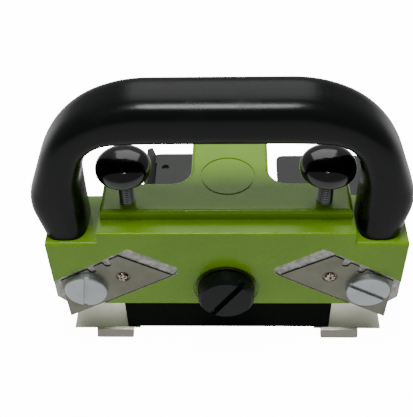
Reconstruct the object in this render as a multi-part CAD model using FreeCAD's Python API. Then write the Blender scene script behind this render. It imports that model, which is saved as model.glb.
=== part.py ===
import FreeCAD, Part
import math
import os

# Double-ended carpet edge trimmer, hand operated.  Millimetres, +X right, +Y back, +Z up.
# Working frame: X = 0 mid plane, Y = 0 front face of the casting, Z = 0 floor.
# Every node is moved back by FRAME_Y on export, so that the origin is under the middle of the box.

V = FreeCAD.Vector

# Heights
DECK_Z = 79.0            # top of the two end decks
LEDGE_Z = DECK_Z + 7.3   # top of the front ledge
BLOCK_Z = DECK_Z + 13.0  # top of the raised block and of the tail
BODY_BOTTOM_Z = 32.0     # lower edge of the casting

# Casting
BODY_HALF = 90.8
BODY_DEPTH = 36.0
BLOCK_HALF = 63.0
LEDGE_HALF = 64.0
BLOCK_FRONT_Y = 9.9
BLOCK_BACK_Y = 31.0
TAIL_HALF = 20.1
TAIL_X = 2.1             # the tail stands a little to the right of the middle
TAIL_END_Y = 104.0
TAIL_DROP = 27.0
TAIL_WALL = 4.0
TAIL_ROOT_R = 10.5
TAIL_TIP_R = 13.4
TAIL_END_WALL = 14.0
EDGE_R = 2.0
LEDGE_EDGE_R = 1.2
CORNER_CHAMFER = 5.0
CAVITY_HALF = 58.2
CAVITY_FRONT_Y = 4.2
CAVITY_BACK_Y = 31.8
CAVITY_TOP_Z = 60.0
CAVITY_R = 0.4
BOLT_BORE_R = 8.6        # counterbore for a handle bolt, from below
BOLT_BORE_TOP_Z = DECK_Z - 8.0
RING_R = 14.2
RING_AT = (1.0, 35.9)
RING_W = 0.9
RING_DEEP = 0.5

# Handle: an outline in X and Z, pushed along Y, set HANDLE_X to the side of the middle
HANDLE_X = -2.2
HANDLE_Y = (2.4, 32.8)
HANDLE_TOP_Z = DECK_Z + 82.2
HANDLE_BAR_Z = DECK_Z + 57.9
HANDLE_OUTER = ((89.6, DECK_Z), (96.3, DECK_Z + 22.0), (72.2, HANDLE_TOP_Z))
HANDLE_INNER = ((68.0, DECK_Z), (68.0, DECK_Z + 33.0), (60.8, HANDLE_BAR_Z))
HANDLE_OUTER_R = (24.0, 50.0)
HANDLE_INNER_R = (30.0, 18.0)
HANDLE_EDGE_R = 8.2
HANDLE_BOLT_X = 78.8
HANDLE_BOLT_Y = 22.0
INSERT_R = 5.5
INSERT_LEN = 16.0
HANDLE_WASHER_R = 8.0
HANDLE_WASHER_T = 1.6
BOLT_HEAD_R = 6.5
BOLT_HEAD_T = 8.0
BOLT_KEY_R = 3.4

# Screws
M8_R = 4.0
M8_PITCH = 1.25
M8_THREAD_DEEP = 0.65
RUN = 0.05               # radial clearance of a running fit
CLEAR = 0.3              # radial clearance of a free hole

# Blades and their pockets, right hand side; the left is the mirror image
BLADE_A = (54.8, DECK_Z - 9.2)
BLADE_B = (28.3, DECK_Z - 24.0)
BLADE_C = (85.7, DECK_Z - 58.3)
BLADE_D = (86.8, DECK_Z - 28.6)
BLADE_T = 0.65
POCKET_DEEP = 0.7
POCKET_END_GAP = 7.6
POCKET_SIDE_GAP = 1.6
POCKET_LOW_GAP = 0.5
POCKET_R = 4.0
NOTCH_R = 2.0
NOTCH_W = (3.0, 4.6)     # at the round bottom and at the mouth
NOTCH_DEEP = 1.9
NOTCHES = (0.22, 0.48, 0.74)
PIN_AT = (53.6, DECK_Z - 25.2)
PIN_R = 2.7
PIN_HOLE_R = 3.4
PIN_PROUD = 0.5
PIN_END_Y = 3.6
BLADE_SCREW_AT = (73.9, DECK_Z - 34.0)
BLADE_HEAD_R = 11.2
BLADE_HEAD_T = 3.3
BLADE_HEAD_EDGE = 0.5
TIP_CHAMFER = 0.6
SLOT_W = 2.3
SLOT_DEEP = 1.3
BLADE_SCREW_LEN = 11.0

# Lock screw in the middle of the front face
LOCK_Z = DECK_Z - 34.0
LOCK_HEAD_R = 15.0
LOCK_HEAD_T = 8.2
LOCK_SLOT_W = 3.4
LOCK_SLOT_DEEP = 3.2
LOCK_SLOT_TURN = -56.0
LOCK_EDGE = 1.4
LOCK_DRAFT = 0.5
LOCK_TIP_GAP = 0.4
LOCK_STEM_R = 6.0
SPOT_R = 17.2
SPOT_DEEP = 0.5
LOCK_WASHER_R = 16.0
LOCK_WASHER_T = 1.2

# Thumb screws
STUD_X = 49.4
STUD_Y = 18.5
KNOB_BOTTOM_Z = DECK_Z + 25.0
KNOB_TOP_Z = DECK_Z + 42.6
KNOB_R = 13.8
KNOB_NECK_R = 6.4
KNOB_CAP_H = 4.2
KNOB_BORE_SKIN = 5.0
COLLAR_R = 6.5
COLLAR_T = 3.0
JOURNAL_R = 3.0
CLIP_R = 5.2
CLIP_T = 1.0
CLIP_GROOVE = 0.6
CLIP_MOUTH = 3.6

# Base
BASE_X = (-56.0, 57.4)
BASE_Y = (4.7, 31.3)
BASE_Z = (5.0, 46.0)
BASE_RELIEF_TOP_Z = 17.0
BASE_EDGE_R = 0.8
RELIEF_R = 5.8
WASHER_R = 5.4
WASHER_T = 1.0
POST_X = 27.0
POST_R = 4.0
POST_TOP_Z = 76.0
POST_BORE_TOP_Z = 85.0
POST_IN = 14.0
SHOE_T = 1.2
SHOE_X = (49.0, 86.2)
SHOE_LIP_X = (52.6, 73.6)
SHOE_FRONT_Y = 4.4
SHOE_BACK_Y = 31.0
LIP_REACH = 4.0
LIP_R = 1.6
SKID_T = 3.0
SKID_BACK_Y = (155.5, 153.0)   # left and right
SKID_FRONT_Y = 13.0
SKID_JOG_Y = (34.0, 40.0)
SKID_LEFT_X = (-52.0, 13.0)
SKID_RIGHT_X = (33.5, 97.0)
SKID_CORNER_R = 5.0
FIN_H = 9.0
FIN_T = 2.6
FIN_FRONT_Y = 96.0
FIN_R = 5.0
FIN_LEAN = 16.0          # degrees from upright, outwards
SKID_HOLE_R = 2.5
SKID_HOLE = (-42.9, 141.6)
GROOVE_X = (0.8, 4.2, 2.9)    # near start, near end and far end of the groove beside the fin
GROOVE_FLOOR = 0.6
GROOVE_BACK_Y = 146.0
CSK_R = 3.0
CSK_HOLE_R = 1.5
CSK_LEN = 9.0
CSK_DEEP = 1.5
CSK_SLOT = (1.0, 0.8)    # width and depth
SCREW_EDGE = 4.4         # from a plate's edge to a screw's axis
SHOE_SCREW_Y = (8.6, 27.2)
SKID_SCREW_Y = (18.0, 28.0)

LOCK_FRONT_Y = LOCK_HEAD_T + LOCK_WASHER_T - SPOT_DEEP
FRAME_Y = (SKID_BACK_Y[0] - LOCK_FRONT_Y) / 2


def box(x, y, z):
    """A block between two X, two Y and two Z values."""
    return Part.makeBox(x[1] - x[0], y[1] - y[0], z[1] - z[0], V(x[0], y[0], z[0]))


def rod(radius, start, end):
    """A round rod from one point to another."""
    along = V(*end) - V(*start)
    return Part.makeCylinder(radius, along.Length, V(*start), along)


def turned(profile, origin, axis_y=False):
    """A solid turned from (radius, height) points about Z, or about Y with height towards -Y."""
    points = [V(r, 0, h) for r, h in profile]
    solid = Part.Face(Part.makePolygon(points + points[:1])).revolve(V(), V(0, 0, 1), 360)
    if axis_y:
        solid.rotate(V(), V(1, 0, 0), 90)
    solid.translate(V(*origin))
    return solid


def mirrored(shape):
    """The same shape on the other side of the mid plane."""
    return shape.mirror(V(), V(1, 0, 0))


def both(shape):
    """A shape and its mirror image, as one group."""
    return Part.makeCompound([shape, mirrored(shape)])


def plate_xz(points, y):
    """A flat plate with an outline of (x, z) points, between two Y values."""
    outline = [V(x, y[0], z) for x, z in points]
    return Part.Face(Part.makePolygon(outline + outline[:1])).extrude(V(0, y[1] - y[0], 0))


def plate_yz(points, x):
    """A bar with a section of (y, z) points, between two X values."""
    outline = [V(x[0], y, z) for y, z in points]
    return Part.Face(Part.makePolygon(outline + outline[:1])).extrude(V(x[1] - x[0], 0, 0))


def edges_along(shape, axis, where):
    """Straight edges parallel to an axis whose middle passes a test."""
    found = []
    for edge in shape.Edges:
        ends = [v.Point for v in edge.Vertexes]
        if len(ends) != 2 or edge.Curve.TypeId != "Part::GeomLine":
            continue
        if abs((ends[1] - ends[0]).normalize().dot(axis)) > 0.999 and where((ends[0] + ends[1]) * 0.5):
            found.append(edge)
    return found


def fillet_2d(points, radii):
    """Points of an open outline with its inner corners rounded, as a list of edges."""
    edges = []
    last = V(*points[0])
    for i, radius in enumerate(radii, start=1):
        corner = V(*points[i])
        back = (V(*points[i - 1]) - corner).normalize()
        on = (V(*points[i + 1]) - corner).normalize()
        half = back.getAngle(on) / 2
        run = radius / math.tan(half)
        start = corner + back * run
        end = corner + on * run
        middle = corner + (back + on).normalize() * (radius / math.sin(half) - radius)
        edges.append(Part.LineSegment(last, start).toShape())
        edges.append(Part.Arc(start, middle, end).toShape())
        last = end
    edges.append(Part.LineSegment(last, V(*points[-1])).toShape())
    return edges


def blade_frame():
    """Unit vectors along the notched edge (A to D) and inwards across the blade."""
    along = V(BLADE_D[0] - BLADE_A[0], 0, BLADE_D[1] - BLADE_A[1])
    length = along.Length
    along.normalize()
    return along, V(along.z, 0, -along.x), length


def make_blade():
    """A trapezoid blade with round notches on its short edge, a pin hole and a screw hole."""
    y = (POCKET_DEEP - BLADE_T, POCKET_DEEP)
    blade = plate_xz((BLADE_A, BLADE_B, BLADE_C, BLADE_D), y)
    along, across, length = blade_frame()
    start = V(BLADE_A[0], y[0], BLADE_A[1])
    low, wide = (width / 2 for width in NOTCH_W)
    shape = ((-wide, -1), (-wide, 0), (-low, NOTCH_DEEP), (low, NOTCH_DEEP), (wide, 0), (wide, -1))
    for share in NOTCHES:
        corners = [start + along * (share * length + run) + across * deep for run, deep in shape]
        blade = blade.cut(plate_xz([(p.x, p.z) for p in corners], y))
        bottom = start + along * (share * length) + across * NOTCH_DEEP
        blade = blade.cut(rod(NOTCH_R, (bottom.x, y[0] - 1, bottom.z), (bottom.x, y[1] + 1, bottom.z)))
    for at, radius in ((PIN_AT, PIN_HOLE_R), (BLADE_SCREW_AT, M8_R + CLEAR)):
        blade = blade.cut(rod(radius, (at[0], y[0] - 1, at[1]), (at[0], y[1] + 1, at[1])))
    return blade


def blade_pocket():
    """The milled recess that a blade lies in, open at the lower outer corner."""
    along, across, length = blade_frame()
    a = V(BLADE_A[0], 0, BLADE_A[1])
    b = V(BLADE_B[0], 0, BLADE_B[1])
    end_out = (V(BLADE_C[0], 0, BLADE_C[1]) - b).normalize() * -1
    a = a - along * POCKET_END_GAP - across * POCKET_SIDE_GAP
    b = b + end_out * POCKET_END_GAP + V(end_out.z, 0, -end_out.x) * -POCKET_LOW_GAP
    reach = BODY_HALF + 4
    far_top = a + along * ((reach - a.x) / along.x)
    far_low = V(reach, 0, BODY_BOTTOM_Z - 12)
    low = b + end_out * ((b.z - far_low.z) / end_out.z) * -1
    corners = [(p.x, p.z) for p in (a, b, low, far_low, far_top)]
    pocket = plate_xz(corners, (-1, POCKET_DEEP))
    inner = edges_along(pocket, V(0, 1, 0), lambda p: p.x < BLADE_SCREW_AT[0] and p.z > BODY_BOTTOM_Z)
    return pocket.makeFillet(POCKET_R, inner)


def body_outside():
    """The casting without its pockets: end decks, ledge, raised block and tail."""
    end_low = BODY_HALF - CORNER_CHAMFER
    chamfer_z = BODY_BOTTOM_Z + CORNER_CHAMFER
    front = ((-BODY_HALF, DECK_Z), (BODY_HALF, DECK_Z), (BODY_HALF, chamfer_z), (end_low, BODY_BOTTOM_Z),
             (-end_low, BODY_BOTTOM_Z), (-BODY_HALF, chamfer_z))
    body = plate_xz(front, (0, BODY_DEPTH))
    body = body.makeFillet(EDGE_R, edges_along(body, V(1, 0, 0), lambda p: p.z > DECK_Z - 1))
    ledge = box((-LEDGE_HALF, LEDGE_HALF), (0, BLOCK_BACK_Y), (DECK_Z - 4, LEDGE_Z))
    upper_front = edges_along(ledge, V(1, 0, 0), lambda p: p.z > LEDGE_Z - 1 and p.y < 1)
    ledge = ledge.makeFillet(LEDGE_EDGE_R, upper_front)
    block = box((-BLOCK_HALF, BLOCK_HALF), (BLOCK_FRONT_Y, BLOCK_BACK_Y), (DECK_Z - 4, BLOCK_Z))
    tail = box((TAIL_X - TAIL_HALF, TAIL_X + TAIL_HALF), (BLOCK_BACK_Y - 4, TAIL_END_Y),
               (BLOCK_Z - TAIL_DROP, BLOCK_Z))
    tail = tail.makeFillet(TAIL_TIP_R, edges_along(tail, V(0, 0, 1), lambda p: p.y > TAIL_END_Y - 1))
    raised = block.fuse(tail).removeSplitter()
    roots = edges_along(raised, V(0, 0, 1), lambda p: abs(p.y - BLOCK_BACK_Y) < 0.1
                        and abs(p.x - TAIL_X) < TAIL_HALF + 1 and p.z > DECK_Z - 4)
    raised = raised.makeFillet(TAIL_ROOT_R, roots)
    top = [e for e in raised.Edges if all(abs(v.Z - BLOCK_Z) < 0.01 for v in e.Vertexes)]
    raised = raised.makeFillet(EDGE_R, top)
    return body.fuse(ledge).fuse(raised).removeSplitter()


def make_body():
    """The aluminium casting, hollow underneath, with its bores and milled faces."""
    body = body_outside()
    cavity = box((-CAVITY_HALF, CAVITY_HALF), (CAVITY_FRONT_Y, CAVITY_BACK_Y),
                 (BODY_BOTTOM_Z - 1, CAVITY_TOP_Z))
    cavity = cavity.makeFillet(CAVITY_R, edges_along(cavity, V(0, 0, 1), lambda p: True))
    cuts = [cavity]
    inside = TAIL_HALF - TAIL_WALL
    cuts.append(box((TAIL_X - inside, TAIL_X + inside), (BODY_DEPTH + 2, TAIL_END_Y - TAIL_END_WALL),
                    (BLOCK_Z - TAIL_DROP - 1, BLOCK_Z - TAIL_WALL)))
    bolt_at = (HANDLE_BOLT_X, HANDLE_BOLT_Y, BODY_BOTTOM_Z - 1)
    cuts.append(both(rod(BOLT_BORE_R, bolt_at, (HANDLE_BOLT_X, HANDLE_BOLT_Y, BOLT_BORE_TOP_Z))))
    cuts.append(both(rod(M8_R + CLEAR, (HANDLE_BOLT_X, HANDLE_BOLT_Y, BOLT_BORE_TOP_Z - 1),
                         (HANDLE_BOLT_X, HANDLE_BOLT_Y, DECK_Z + 1))))
    cuts.append(both(rod(M8_R + RUN, (STUD_X, STUD_Y, CAVITY_TOP_Z - 1), (STUD_X, STUD_Y, BLOCK_Z + 1))))
    cuts.append(both(rod(POST_R + RUN, (POST_X, STUD_Y, CAVITY_TOP_Z - 1),
                         (POST_X, STUD_Y, POST_BORE_TOP_Z))))
    cuts.append(both(blade_pocket()))
    x, z = BLADE_SCREW_AT
    cuts.append(both(rod(M8_R + RUN, (x, -1, z), (x, BLADE_SCREW_LEN + 1, z))))
    x, z = PIN_AT
    cuts.append(both(rod(PIN_R, (x, -1, z), (x, PIN_END_Y, z))))
    cuts.append(rod(LOCK_STEM_R + RUN, (0, -1, LOCK_Z), (0, CAVITY_FRONT_Y + 1, LOCK_Z)))
    cuts.append(rod(SPOT_R, (0, -1, LOCK_Z), (0, SPOT_DEEP, LOCK_Z)))
    ring = rod(RING_R, (*RING_AT, BLOCK_Z - RING_DEEP), (*RING_AT, BLOCK_Z + 1))
    cuts.append(ring.cut(rod(RING_R - RING_W, (*RING_AT, BLOCK_Z - 2), (*RING_AT, BLOCK_Z + 2))))
    for cut in cuts:
        body = body.cut(cut)
    return body


def make_handle():
    """The big D handle, with an insert hole in each foot."""
    right_out = fillet_2d([(x, 0, z) for x, z in HANDLE_OUTER] + [(0, 0, HANDLE_TOP_Z)], HANDLE_OUTER_R)
    right_in = fillet_2d([(x, 0, z) for x, z in HANDLE_INNER] + [(0, 0, HANDLE_BAR_Z)], HANDLE_INNER_R)
    foot = Part.LineSegment(V(HANDLE_INNER[0][0], 0, DECK_Z), V(HANDLE_OUTER[0][0], 0, DECK_Z)).toShape()
    right = right_out + right_in + [foot]
    left = [mirrored(edge) for edge in right]
    wire = Part.Wire(Part.__sortEdges__(right + left))
    face = Part.Face(wire)
    solid = face.extrude(V(0, HANDLE_Y[1] - HANDLE_Y[0], 0))
    solid.translate(V(0, HANDLE_Y[0], 0))
    rims = [e for e in solid.Edges if not is_foot_edge(e) and is_rim(e)]
    solid = solid.makeFillet(HANDLE_EDGE_R, rims)
    solid.translate(V(HANDLE_X, 0, 0))
    foot_at = (HANDLE_BOLT_X, HANDLE_BOLT_Y, DECK_Z)
    return solid.cut(both(rod(INSERT_R, foot_at, (HANDLE_BOLT_X, HANDLE_BOLT_Y, DECK_Z + INSERT_LEN))))


def is_rim(edge):
    """True for an edge that lies in the front or the back face of the handle."""
    ys = [v.Point.y for v in edge.Vertexes]
    return all(abs(y - HANDLE_Y[0]) < 0.01 for y in ys) or all(abs(y - HANDLE_Y[1]) < 0.01 for y in ys)


def is_foot_edge(edge):
    """True for an edge of the handle's flat feet."""
    return all(abs(v.Point.z - DECK_Z) < 0.01 for v in edge.Vertexes)


def make_insert():
    """A round threaded insert moulded into a handle foot."""
    x, y = HANDLE_BOLT_X, HANDLE_BOLT_Y
    insert = rod(INSERT_R, (x, y, DECK_Z), (x, y, DECK_Z + INSERT_LEN))
    return insert.cut(rod(M8_R, (x, y, DECK_Z - 1), (x, y, DECK_Z + INSERT_LEN - 2)))


def make_handle_bolt():
    """A socket head bolt that holds one foot from below."""
    seat = BOLT_BORE_TOP_Z - HANDLE_WASHER_T
    head = seat - BOLT_HEAD_T
    tip = DECK_Z + INSERT_LEN - 4
    profile = ((0, head), (BOLT_HEAD_R, head), (BOLT_HEAD_R, seat), (M8_R, seat), (M8_R, tip), (0, tip))
    bolt = turned(profile, (HANDLE_BOLT_X, HANDLE_BOLT_Y, 0))
    corners = [V(BOLT_KEY_R, 0, 0)]
    for turn in range(60, 361, 60):
        angle = math.radians(turn)
        corners.append(V(BOLT_KEY_R * math.cos(angle), BOLT_KEY_R * math.sin(angle), 0))
    socket = Part.Face(Part.makePolygon(corners)).extrude(V(0, 0, BOLT_HEAD_T / 2))
    socket.translate(V(HANDLE_BOLT_X, HANDLE_BOLT_Y, head))
    return bolt.cut(socket)


def make_handle_washer():
    """A flat washer between bolt head and casting."""
    x, y = HANDLE_BOLT_X, HANDLE_BOLT_Y
    washer = rod(HANDLE_WASHER_R, (x, y, BOLT_BORE_TOP_Z - HANDLE_WASHER_T), (x, y, BOLT_BORE_TOP_Z))
    return washer.cut(rod(M8_R + CLEAR, (x, y, BOLT_BORE_TOP_Z - 3), (x, y, BOLT_BORE_TOP_Z + 1)))


def slotted_head(screw, at, front_y, radius, width, deep, angle):
    """Cut a straight driver slot across a head whose face is at front_y."""
    slot = box((-radius - 1, radius + 1), (front_y - 1, front_y + deep), (-width / 2, width / 2))
    slot.rotate(V(), V(0, 1, 0), angle)
    slot.translate(V(at[0], 0, at[1]))
    return screw.cut(slot)


def make_blade_screw(side, slot_angle):
    """A wide flat slotted screw that clamps one blade."""
    x, z = side * BLADE_SCREW_AT[0], BLADE_SCREW_AT[1]
    seat = BLADE_T - POCKET_DEEP
    tip = -BLADE_SCREW_LEN
    rim = BLADE_HEAD_T - BLADE_HEAD_EDGE
    profile = ((0, tip), (M8_R - TIP_CHAMFER, tip), (M8_R, tip + TIP_CHAMFER), (M8_R, seat),
               (BLADE_HEAD_R, seat), (BLADE_HEAD_R, rim), (BLADE_HEAD_R - BLADE_HEAD_EDGE, BLADE_HEAD_T),
               (0, BLADE_HEAD_T))
    screw = turned(profile, (x, 0, z), axis_y=True)
    return slotted_head(screw, (x, z), -BLADE_HEAD_T, BLADE_HEAD_R, SLOT_W, SLOT_DEEP, slot_angle)


def make_lock_screw():
    """The big slotted screw whose stem clamps the base inside the casting."""
    seat = LOCK_WASHER_T - SPOT_DEEP
    face = seat + LOCK_HEAD_T
    tip = LOCK_TIP_GAP - CAVITY_FRONT_Y
    profile = ((0, tip), (LOCK_STEM_R, tip), (LOCK_STEM_R, seat), (LOCK_HEAD_R - LOCK_EDGE / 2, seat),
               (LOCK_HEAD_R, seat + LOCK_EDGE / 2), (LOCK_HEAD_R - LOCK_DRAFT, face - LOCK_EDGE),
               (LOCK_HEAD_R - LOCK_DRAFT - LOCK_EDGE, face), (0, face))
    screw = turned(profile, (0, 0, LOCK_Z), axis_y=True)
    return slotted_head(screw, (0, LOCK_Z), -face, LOCK_HEAD_R, LOCK_SLOT_W, LOCK_SLOT_DEEP, LOCK_SLOT_TURN)


def make_lock_washer():
    """The thin washer under the lock screw's head."""
    washer = rod(LOCK_WASHER_R, (0, SPOT_DEEP - LOCK_WASHER_T, LOCK_Z), (0, SPOT_DEEP, LOCK_Z))
    return washer.cut(rod(LOCK_STEM_R + CLEAR, (0, -3, LOCK_Z), (0, 3, LOCK_Z)))


def make_stud():
    """A thumb screw's threaded stud, with a collar and a thin journal in the base."""
    collar = BASE_Z[1]
    clip = BASE_RELIEF_TOP_Z - WASHER_T
    bottom = clip - CLIP_T - 1.5
    groove = JOURNAL_R - CLIP_GROOVE
    profile = [(0, bottom), (JOURNAL_R, bottom), (JOURNAL_R, clip - CLIP_T), (groove, clip - CLIP_T),
               (groove, clip), (JOURNAL_R, clip), (JOURNAL_R, collar), (COLLAR_R, collar),
               (COLLAR_R, collar + COLLAR_T), (M8_R - M8_THREAD_DEEP, collar + COLLAR_T)]
    z = collar + COLLAR_T + 1
    while z < KNOB_BOTTOM_Z - M8_PITCH:
        profile.append((M8_R - M8_THREAD_DEEP, z))
        profile.append((M8_R, z + M8_PITCH * 0.45))
        profile.append((M8_R, z + M8_PITCH * 0.55))
        z += M8_PITCH
    root = M8_R - M8_THREAD_DEEP
    top = KNOB_TOP_Z - KNOB_BORE_SKIN
    profile += [(root, z), (root, top), (0, top)]
    return turned(profile, (STUD_X, STUD_Y, 0))


def make_knob():
    """A mushroom thumb knob: short neck, wide rounded cap whose crown is part of a sphere."""
    low, top = KNOB_BOTTOM_Z, KNOB_TOP_Z
    foot = V(KNOB_NECK_R - 1, 0, low)
    neck = V(KNOB_NECK_R, 0, low + 1)
    waist = V(KNOB_NECK_R, 0, low + 3.5)
    under = V(KNOB_R - 1.6, 0, low + 6.2)
    side = V(KNOB_R, 0, low + 9.0)
    crown = V(KNOB_R - 2.6, 0, top - KNOB_CAP_H)
    centre = V(0, 0, top)
    cap_r = (crown.x ** 2 + KNOB_CAP_H ** 2) / (2 * KNOB_CAP_H)
    half = math.asin(crown.x / cap_r) / 2
    on_cap = V(cap_r * math.sin(half), 0, top - cap_r * (1 - math.cos(half)))
    line = [V(0, 0, low), foot, neck, waist, under]
    edges = [Part.makeLine(start, end) for start, end in zip(line, line[1:])]
    edges.append(Part.Arc(under, V(KNOB_R - 0.45, 0, low + 7.3), side).toShape())
    edges.append(Part.Arc(side, V(KNOB_R - 0.6, 0, low + 12.0), crown).toShape())
    edges.append(Part.Arc(crown, on_cap, centre).toShape())
    edges.append(Part.makeLine(centre, V(0, 0, low)))
    knob = Part.Face(Part.Wire(edges)).revolve(V(), V(0, 0, 1), 360)
    knob.translate(V(STUD_X, STUD_Y, 0))
    bore_top = KNOB_TOP_Z - KNOB_BORE_SKIN
    return knob.cut(rod(M8_R - M8_THREAD_DEEP, (STUD_X, STUD_Y, low - 1), (STUD_X, STUD_Y, bore_top)))


def make_clip():
    """The retaining clip snapped into the stud's groove, with its opening to the back."""
    z = BASE_RELIEF_TOP_Z - WASHER_T - CLIP_T
    clip = rod(CLIP_R, (STUD_X, STUD_Y, z), (STUD_X, STUD_Y, z + CLIP_T))
    clip = clip.cut(rod(JOURNAL_R - CLIP_GROOVE, (STUD_X, STUD_Y, z - 1), (STUD_X, STUD_Y, z + 2)))
    mouth_x = (STUD_X - CLIP_MOUTH / 2, STUD_X + CLIP_MOUTH / 2)
    return clip.cut(box(mouth_x, (STUD_Y, STUD_Y + CLIP_R + 1), (z - 1, z + 2)))


def make_thrust_washer():
    """The thin washer between clip and base."""
    z = BASE_RELIEF_TOP_Z
    washer = rod(WASHER_R, (STUD_X, STUD_Y, z - WASHER_T), (STUD_X, STUD_Y, z))
    return washer.cut(rod(JOURNAL_R + RUN, (STUD_X, STUD_Y, z - 3), (STUD_X, STUD_Y, z + 1)))


def shoe_screw_points():
    """Screw places of the right shoe, inside the base's outline."""
    return [(SHOE_X[0] + SCREW_EDGE, y) for y in SHOE_SCREW_Y]


def skid_screw_points(span):
    """Screw places of one rear skid: two rows, in two columns where the skid is wide enough."""
    limit = STUD_X - RELIEF_R - CSK_R - 1
    low = max(span[0] + SCREW_EDGE, -limit)
    high = min(span[1] - SCREW_EDGE, limit)
    columns = (low, high) if high - low > 4 * CSK_R else ((low + high) / 2,)
    return [(x, y) for x in columns for y in SKID_SCREW_Y]


def all_screws():
    """Every countersunk screw under the base, as (x, y, thickness of its plate)."""
    places = []
    for x, y in shoe_screw_points():
        places += [(x, y, SHOE_T), (-x, y, SHOE_T)]
    for span in (SKID_LEFT_X, SKID_RIGHT_X):
        places += [(x, y, SKID_T) for x, y in skid_screw_points(span)]
    return places


def make_base_block():
    """The black block that slides in the casting and carries the shoes and skids."""
    block = box(BASE_X, BASE_Y, BASE_Z)
    block = block.makeFillet(BASE_EDGE_R, edges_along(block, V(0, 0, 1), lambda p: True))
    low = BASE_Z[0]
    for x in (-STUD_X, STUD_X):
        block = block.cut(rod(RELIEF_R, (x, STUD_Y, low - 1), (x, STUD_Y, BASE_RELIEF_TOP_Z)))
        block = block.cut(rod(JOURNAL_R + RUN, (x, STUD_Y, low), (x, STUD_Y, BASE_Z[1] + 1)))
    for x in (-POST_X, POST_X):
        block = block.cut(rod(POST_R, (x, STUD_Y, BASE_Z[1] - POST_IN), (x, STUD_Y, BASE_Z[1] + 1)))
    for x, y, plate in all_screws():
        block = block.cut(screw_hole(x, y, low - plate))
        block = block.cut(rod(CSK_HOLE_R, (x, y, low - 1), (x, y, low + CSK_LEN)))
    return block


def make_post():
    """A guide post pressed into the base and running in the casting."""
    return rod(POST_R, (POST_X, STUD_Y, BASE_Z[1] - POST_IN), (POST_X, STUD_Y, POST_TOP_Z))


def make_screw(x, y, plate_low):
    """A countersunk slotted screw from below."""
    tip = BASE_Z[0] - plate_low + CSK_LEN - 1
    profile = ((0, 0), (CSK_R, 0), (CSK_HOLE_R, CSK_DEEP), (CSK_HOLE_R, tip), (0, tip))
    screw = turned(profile, (x, y, plate_low))
    half = CSK_SLOT[0] / 2
    slot = box((x - CSK_R - 1, x + CSK_R + 1), (y - half, y + half), (plate_low - 1, plate_low + CSK_SLOT[1]))
    return screw.cut(slot)


def screw_hole(x, y, plate_low):
    """The countersunk hole for one screw, a little past both faces."""
    cone = Part.makeCone(CSK_R, CSK_HOLE_R, CSK_DEEP, V(x, y, plate_low))
    return cone.fuse(rod(CSK_HOLE_R, (x, y, plate_low), (x, y, plate_low + 6)))


def make_shoe():
    """A spring steel shoe: a flat strip with a lip bent down to the floor at the front."""
    top = BASE_Z[0]
    low = top - SHOE_T
    flat = box(SHOE_X, (SHOE_FRONT_Y, SHOE_BACK_Y), (low, top))
    flat = flat.cut(rod(RELIEF_R, (STUD_X, STUD_Y, 0), (STUD_X, STUD_Y, 10)))
    y = SHOE_FRONT_Y
    tip = y - LIP_REACH
    bend = ((y, top), (y - 1.6, top - 0.6), (tip, 0.7), (tip + 0.2, 0), (tip + 1.2, 0),
            (y - 0.8, low - 0.4), (y, low))
    zone = box(SHOE_LIP_X, (tip - 1, y + 1), (0, top))
    zone = zone.makeFillet(LIP_R, edges_along(zone, V(0, 1, 0), lambda p: p.z < 1))
    shoe = flat.fuse(plate_yz(bend, SHOE_LIP_X).common(zone)).removeSplitter()
    for sx, sy in shoe_screw_points():
        shoe = shoe.cut(screw_hole(sx, sy, low))
    return shoe


def make_skid(x, back_y, with_fin):
    """A long rear skid: screwed under the base, stepped down and flat on the floor behind it."""
    top = BASE_Z[0]
    low = top - SKID_T
    y0, y1 = SKID_JOG_Y
    section = ((SKID_FRONT_Y, low), (y0, low), (y1, 0), (back_y, 0), (back_y, SKID_T),
               (y1 + 1, SKID_T), (y0 + 1, top), (SKID_FRONT_Y, top))
    skid = plate_yz(section, x)
    rear = edges_along(skid, V(0, 0, 1), lambda p: p.y > back_y - 1)
    skid = skid.makeFillet(SKID_CORNER_R, rear)
    beside_shoe = (SHOE_X[0] - 0.5, SHOE_X[1] + SKID_RIGHT_X[1])
    skid = skid.cut(both(box(beside_shoe, (0, SHOE_BACK_Y + 1), (-1, top + 1))))
    skid = skid.cut(both(rod(RELIEF_R, (STUD_X, STUD_Y, -1), (STUD_X, STUD_Y, top + 1))))
    for sx, sy in skid_screw_points(x):
        skid = skid.cut(screw_hole(sx, sy, low))
    if with_fin:
        skid = skid.cut(rod(SKID_HOLE_R, (*SKID_HOLE, -1), (*SKID_HOLE, SKID_T + 1)))
        skid = skid.cut(fin_groove(x[0])).fuse(make_fin(x[0], back_y)).removeSplitter()
    return skid


def make_fin(edge_x, back_y):
    """The raised fin along a skid's outer edge, leaning outwards."""
    fin = box((0, FIN_T), (FIN_FRONT_Y, back_y - 1), (0, FIN_H + SKID_T))
    fin = fin.makeFillet(FIN_R, edges_along(fin, V(1, 0, 0), lambda p: p.z > FIN_H))
    fin.rotate(V(), V(0, 1, 0), -FIN_LEAN)
    fin.translate(V(edge_x, 0, 0))
    return fin


def fin_groove(edge_x):
    """The groove beside the fin, tapering towards the back."""
    near, near_end, far_end = (edge_x + run for run in GROOVE_X)
    corners = [V(near, FIN_FRONT_Y, GROOVE_FLOOR), V(near_end, FIN_FRONT_Y, GROOVE_FLOOR),
               V(far_end, GROOVE_BACK_Y, GROOVE_FLOOR), V(near, GROOVE_BACK_Y, GROOVE_FLOOR)]
    return Part.Face(Part.makePolygon(corners + corners[:1])).extrude(V(0, 0, SKID_T))


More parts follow.
